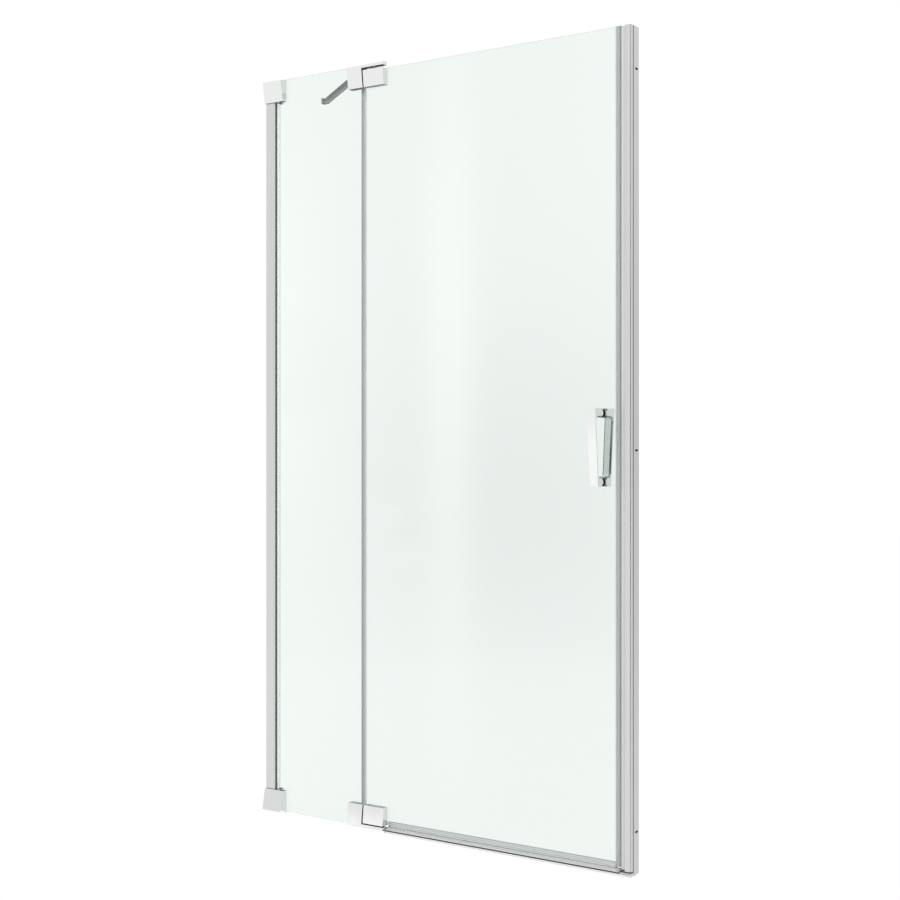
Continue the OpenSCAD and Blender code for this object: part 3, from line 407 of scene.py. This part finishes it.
def flangeFinish(look):
    # satin plate on the wall, shade where the fork meets it, and the darker fork
    material, tree, shader = newMaterial("satinFlange", Metallic=0.6)
    across = addNode(tree, "ShaderNodeSeparateXYZ", {"Vector": objectPoint(tree)}).outputs["X"]
    grain = noise(tree, 500, 3)
    place = addNode(tree, "ShaderNodeMapRange", {
        "Value": across, "From Min": look["span"][0], "From Max": look["span"][1]}).outputs["Result"]
    tone = colourRamp(tree, place, [(stop, grey(value)) for stop, value in look["tones"]])
    speckled = addNode(tree, "ShaderNodeVectorMath", {
        0: tone, "Scale": ramp(tree, grain.outputs["Fac"], 0.92, 1.08)}, operation="SCALE")
    tree.links.new(speckled.outputs["Vector"], shader.inputs["Base Color"])
    tree.links.new(ramp(tree, grain.outputs["Fac"], 0.3, 0.4), shader.inputs["Roughness"])
    return material


def magnetFinish():
    material, tree, shader = newMaterial("magnetStrip")
    lines = noise(tree, 600, 3, stretch=(1, 1, 0.05))
    tree.links.new(colourRamp(tree, lines.outputs["Fac"], [
        (0.3, grey(0.2)), (0.7, grey(0.28))]), shader.inputs["Base Color"])
    tree.links.new(ramp(tree, lines.outputs["Fac"], 0.5, 0.7), shader.inputs["Roughness"])
    bumpFrom(tree, shader, lines.outputs["Fac"], 0.1, 0.0002)
    return material


evenly, alongZ, alongX = (1, 1, 1), (1, 1, 0.01), (0.01, 1, 1)  # how a grain is stretched
finishes = {
    "chrome": chromeFinish(),
    "aluminium": aluminiumFinish("brightAluminium", alongZ, (0.68, 0.685, 0.685, 1), (0.74, 0.74, 0.735, 1)),
    "threshold": aluminiumFinish("thresholdAluminium", alongX, (0.77, 0.765, 0.755, 1), (0.84, 0.835, 0.825, 1), 0.6),
    "satinChrome": aluminiumFinish("satinChrome", evenly, (0.66, 0.67, 0.67, 1), (0.7, 0.705, 0.7, 1), 0.88),
    # painted shade: a darker copy of the satin chrome for faces towards the room's middle height
    "satinPaintedShade": aluminiumFinish("satinChromePaintedShade", evenly, (0.62, 0.63, 0.625, 1), (0.66, 0.67, 0.665, 1), 0.4),
    "mattAluminium": aluminiumFinish("mattAluminium", alongZ, (0.7, 0.705, 0.705, 1), (0.75, 0.75, 0.745, 1), 0.4, 0.5),
    # painted shade: a darker copy of the chrome along the handle's posts
    "chromePaintedShade": aluminiumFinish("chromePaintedShade", evenly, (0.36, 0.37, 0.37, 1), (0.42, 0.43, 0.43, 1)),
    # painted shade: dark grey and near-black copies of the metal for shaded faces of castings and profiles
    "paintedShadeCast": aluminiumFinish("castingPaintedShade", evenly, grey(0.23), grey(0.29), 0.3),
    "shadedCast": aluminiumFinish("shadedCasting", evenly, grey(0.02), grey(0.03), 0.1),
    "steel": steelFinish(), "flange": flangeFinish(flangeLook), "glass": glassFinish(glassLook),
    # painted glow on the panes' edges: stronger on top and bottom, weaker on the sides
    "glassEdge": glassEdgeFinish("glassEdge", 0.35), "glassSide": glassEdgeFinish("glassSide", 0.1),
    "rubber": rubberFinish("blackRubber", 0.012, 0.022), "gasket": rubberFinish("greyGasket", 0.095, 0.125),
    "sealGrip": rubberFinish("greySealGrip", 0.26, 0.31),
    "darkPlastic": plasticFinish("darkPlastic", 0.02, 0.032), "endCap": endCapFinish(endCapLook),
    "inside": plasticFinish("shadedInside", 0.003, 0.006, 0.1), "paleFoot": plasticFinish("paleFoot", 0.8, 0.86),
    "clearSeal": sealFinish("clearSeal", (0.76, 0.8, 0.785, 1), (0.84, 0.87, 0.86, 1), alongZ, 0.6),
    "magnetSeal": sealFinish("magnetSeal", (0.7, 0.74, 0.725, 1), (0.78, 0.81, 0.8, 1), alongZ, 0.6),
    "milkySeal": milkySealFinish(),
    "bottomSeal": bottomSealFinish(bottomSealLook),
    "magnet": magnetFinish(),
}
nodeFinish = {
    "aluminium": ["closing_profile_caps"],
    "steel": ["corner_block_screws", "hinge_body_screws", "pivot_pin_top", "pivot_pin_bottom",
              "profile_lock_screws", "hinge_leaf_screws", "handle_studs", "stabiliser_screws"],
    "rubber": ["corner_block_pads", "hinge_body_pads", "hinge_leaf_pads", "handle_rings"],
    "gasket": ["glazing_gasket_front"], "milkySeal": ["glazing_gasket_back", "setting_blocks"],
    "darkPlastic": ["hinge_body_sleeves", "hinge_leaf_sleeves", "handle_sleeves",
                    "thrust_washer", "leaf_bush_top", "leaf_bush_bottom"],
    "endCap": ["threshold_end_caps"],
    "magnetSeal": ["door_magnet_seal"], "bottomSeal": ["door_bottom_seal"],
    "magnet": ["frame_magnet_strip", "door_magnet_strip"],
    "flange": ["stabiliser_wall_flange"],
    "chrome": ["hinge_plate_top", "hinge_plate_bottom", "leaf_plate_top", "leaf_plate_bottom"],
}


for finishName, nodeNames in nodeFinish.items():
    for nodeName in nodeNames:
        slots = bpy.data.objects[nodeName].data.materials
        slots.clear()
        slots.append(finishes[finishName])
print("stage: finishes on the frame's nodes")

# Pieces with eased edges, each cut from its own node

cleaning = {"weld": 1e-6, "flat": 0.5}  # metres between doubles, degrees between faces that count as one
smoothing = {"narrow": 0.003, "turn": 35}  # widest face of a round, largest turn within it


def turnAt(edge):
    return math.degrees(edge.calc_face_angle_signed(0)) if len(edge.link_faces) == 2 else 0


def copyOfNode(nodeName):
    bm = bmesh.new()
    bm.from_mesh(bpy.data.objects[nodeName].data)
    bmesh.ops.remove_doubles(bm, verts=bm.verts, dist=cleaning["weld"])
    bmesh.ops.dissolve_limit(bm, angle_limit=math.radians(cleaning["flat"]), verts=bm.verts, edges=bm.edges)
    return bm


def bevelEdges(bm, edges, width, segments):
    bmesh.ops.bevel(bm, geom=edges, offset=width, offset_type="OFFSET", segments=segments, profile=0.5,
                    affect="EDGES", material=-1, clamp_overlap=True)


def easeEdges(bm, width, segments, least, longerThan=0):
    sharp = [edge for edge in bm.edges if turnAt(edge) > least and edge.calc_length() > longerThan]
    bevelEdges(bm, sharp, width, segments)


def cutAcross(bm, place, way):
    bmesh.ops.bisect_plane(bm, geom=bm.verts[:] + bm.edges[:] + bm.faces[:], dist=cleaning["weld"],
                           plane_co=place, plane_no=way)


def finishPiece(bm, name, materials, body, nodeName):
    # a turn between two wide faces stays a line; the narrow faces of a round are shaded as one curve
    narrow = {face for face in bm.faces
              if face.calc_area() < smoothing["narrow"] * max(edge.calc_length() for edge in face.edges)}
    for face in bm.faces:
        face.smooth = True
    for edge in bm.edges:
        edge.smooth = abs(turnAt(edge)) < smoothing["turn"] and len(edge.link_faces) == 2 and any(
            face in narrow for face in edge.link_faces)
    mesh = bpy.data.meshes.new(name)
    bm.to_mesh(mesh)
    bm.free()
    piece = bpy.data.objects.new(name, mesh)
    scene.collection.objects.link(piece)
    for material in materials:
        mesh.materials.append(material)
    shading = piece.modifiers.new("evenShading", "WEIGHTED_NORMAL")
    shading.mode, shading.weight, shading.keep_sharp = "FACE_AREA", 100, True
    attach(piece, body)
    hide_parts(nodeName)


castings = {"edge": 0.0007, "segments": 3, "least": 50,
            "armFrom": -0.2175, "armTo": -0.149}  # the part of a hinge body that lies along its leaf, in X


def castingFinishes(bm, name):
    # painted shade: faces towards the room's middle height, and along the gap round the leaf, get darker copies of the
    # metal
    inward = -1 if name.endswith("Top") else 1
    if name == "stabiliserBar":
        # painted shade: a darker satin on its underside
        for face in bm.faces:
            face.material_index = 1 if face.normal.z < -0.5 else 0
        return [finishes["satinChrome"], finishes["satinPaintedShade"]]
    for face in bm.faces:
        level, side = face.normal.z * inward, face.normal.x
        if name.startswith("cornerBlock") or name.startswith("hingeBody"):
            face.material_index = 1 if level > 0.9 else 0
            if name == "hingeBodyBottom" and level > 0.9:
                face.material_index = 3
        place = face.calc_center_median().x
        if name.startswith("hingeBody") and place > castings["armFrom"] and (level > 0.9 or side > 0.9):
            face.material_index = 2 if place < castings["armTo"] else 0
        if name.startswith("hingeLeaf") and (level < -0.9 or side < -0.9):
            face.material_index = 2
        elif name.startswith("hingeLeaf") and level > 0.9:
            face.material_index = 3
    return [finishes[key] for key in ("chrome", "paintedShadeCast", "shadedCast", "satinPaintedShade")]


for nodeName, name, body in [
        ("corner_block_top", "cornerBlockTop", "frame"), ("corner_block_bottom", "cornerBlockBottom", "frame"),
        ("hinge_body_top", "hingeBodyTop", "frame"), ("hinge_body_bottom", "hingeBodyBottom", "frame"),
        ("stabiliser_bar", "stabiliserBar", "frame"),
        ("hinge_leaf_top", "hingeLeafTop", "door"), ("hinge_leaf_bottom", "hingeLeafBottom", "door")]:
    bm = copyOfNode(nodeName)
    easeEdges(bm, castings["edge"], castings["segments"], castings["least"])
    finishPiece(bm, name, castingFinishes(bm, name), body, nodeName)
print("stage: castings")

handles = {"edge": 0.0009, "segments": 3, "least": 50, "chamfer": 0.0037, "gap": (0.9035, 1.0425),
           "foot": 0.0047, "boss": 0.0073}
for nodeName, name, towards in [("handle_outer", "handleOuter", 1), ("handle_inner", "handleInner", -1)]:
    bm = copyOfNode(nodeName)

    def roundsGap(edge):
        # between a side of the handle and any face of its finger gap
        ways = [face.normal for face in edge.link_faces]
        middle = (edge.verts[0].co + edge.verts[1].co) / 2
        return (len(ways) == 2 and abs(middle.y) > handles["foot"]
                and handles["gap"][0] < middle.z < handles["gap"][1]
                and any(abs(way.x) > 0.9 for way in ways)
                and any(abs(way.x) < 0.5 and way.y * towards > -0.5 for way in ways))

    bevelEdges(bm, [edge for edge in bm.edges if roundsGap(edge)], handles["chamfer"], 1)
    easeEdges(bm, handles["edge"], handles["segments"], handles["least"])
    cutAcross(bm, (0, -handles["boss"] * towards, 0), (0, 1, 0))
    for face in bm.faces:
        middle, way = face.calc_center_median(), face.normal
        if 0.3 < abs(way.x) < 0.9 and abs(way.z) > 0.3:
            face.material_index = 1  # shade along the posts
        if abs(middle.y) < handles["boss"] and abs(way.y) < 0.95:
            face.material_index = 2  # and round the rims of their bosses
    finishPiece(bm, name, [finishes["chrome"], finishes["chromePaintedShade"], finishes["rubber"]], "door", nodeName)
print("stage: handles")

profiles = {"edge": 0.0002, "segments": 2, "least": 50, "longerThan": 0.25,
            "leanFrom": 0.0162, "lean": 0.00045, "rear": (0.5495, 0.0195),  # right channel's rear edge, past X and Y
            "joint": 0.53505, "front": -0.019,  # the closing profile's step in X and its front in Y
            "slide": (0.5305, 0.5489), "slideDeep": 0.0185}  # round the sliding joint, in X and to both sides in Y
threshold = {"front": -0.019, "groove": (0.0046, 0.0072), "lipTop": 0.0079, "foot": -0.0215}
for nodeName, name, finish in [
        ("wall_channel_left", "wallChannelLeft", "aluminium"), ("wall_channel_right", "wallChannelRight", "aluminium"),
        ("closing_profile", "closingProfile", "aluminium"), ("threshold_bar", "thresholdBar", "threshold")]:
    bm = copyOfNode(nodeName)
    if name == "wallChannelRight":
        # its outer face leans back a little along the rear edge
        cutAcross(bm, (0, profiles["leanFrom"], 0), (0, 1, 0))
        rear = [vert for vert in bm.verts if vert.co.x > profiles["rear"][0] and vert.co.y > profiles["rear"][1]]
        bmesh.ops.translate(bm, verts=rear, vec=(-profiles["lean"], 0, 0))
    if name == "closingProfile":
        cutAcross(bm, (profiles["joint"], 0, 0), (1, 0, 0))
    easeEdges(bm, profiles["edge"], profiles["segments"], profiles["least"], profiles["longerThan"])
    if name in ("wallChannelRight", "closingProfile"):
        # no light reaches the faces round the sliding joint, which show only through the wall slots
        for face in bm.faces:
            x, y, z = face.calc_center_median()
            if profiles["slide"][0] < x < profiles["slide"][1] and abs(y) < profiles["slideDeep"]:
                face.material_index = 1
            elif name == "closingProfile" and y < profiles["front"] and x < profiles["joint"]:
                face.material_index = 2  # shade along the step of its front
            elif name == "closingProfile" and face.normal.x < -0.2 and face.normal.y < -0.5:
                face.material_index = 4  # its slanted nose
    if name == "thresholdBar":
        for face in bm.faces:
            x, y, z = face.calc_center_median()
            foot, lip = threshold["groove"]
            # painted shade: near black in the groove along its front, dark grey on the lip above it
            if y < threshold["front"] and foot < z < threshold["lipTop"]:
                face.material_index = 1 if z < lip else 2  # the groove along its front and the lip above it
            elif y < threshold["foot"] and z < foot:
                face.material_index = 3
    finishPiece(bm, name, [finishes[key] for key in (finish, "inside", "paintedShadeCast", "paleFoot", "mattAluminium")],
                "frame", nodeName)
print("stage: aluminium profiles")

panes = {"edge": 0.0006, "segments": 2, "least": 50, "longerThan": 0.25, "thin": 0.985}
for nodeName, name, body in [("fixed_glass", "fixedPane", "frame"), ("door_glass", "doorPane", "door")]:
    bm = copyOfNode(nodeName)
    bmesh.ops.scale(bm, verts=bm.verts, vec=(1, panes["thin"], 1))
    easeEdges(bm, panes["edge"], panes["segments"], panes["least"], panes["longerThan"])
    for face in bm.faces:
        if abs(face.normal.y) < 0.5:
            face.material_index = 1 if abs(face.normal.z) > 0.5 else 2
    finishPiece(bm, name, [finishes[key] for key in ("glass", "glassEdge", "glassSide")],
                body, nodeName)

edgeSeal = {"grip": 0.007}  # width of its grey grip; the rest is the clear lip
bm = copyOfNode("panel_edge_seal")
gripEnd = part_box("panel_edge_seal")[0][0] + edgeSeal["grip"]
for face in bm.faces:
    if face.calc_center_median().x > gripEnd:
        face.material_index = 1
finishPiece(bm, "edgeSeal", [finishes["sealGrip"], finishes["clearSeal"]], "frame", "panel_edge_seal")
print("stage: panes and edge seal")

scene.view_settings.view_transform = "Standard"
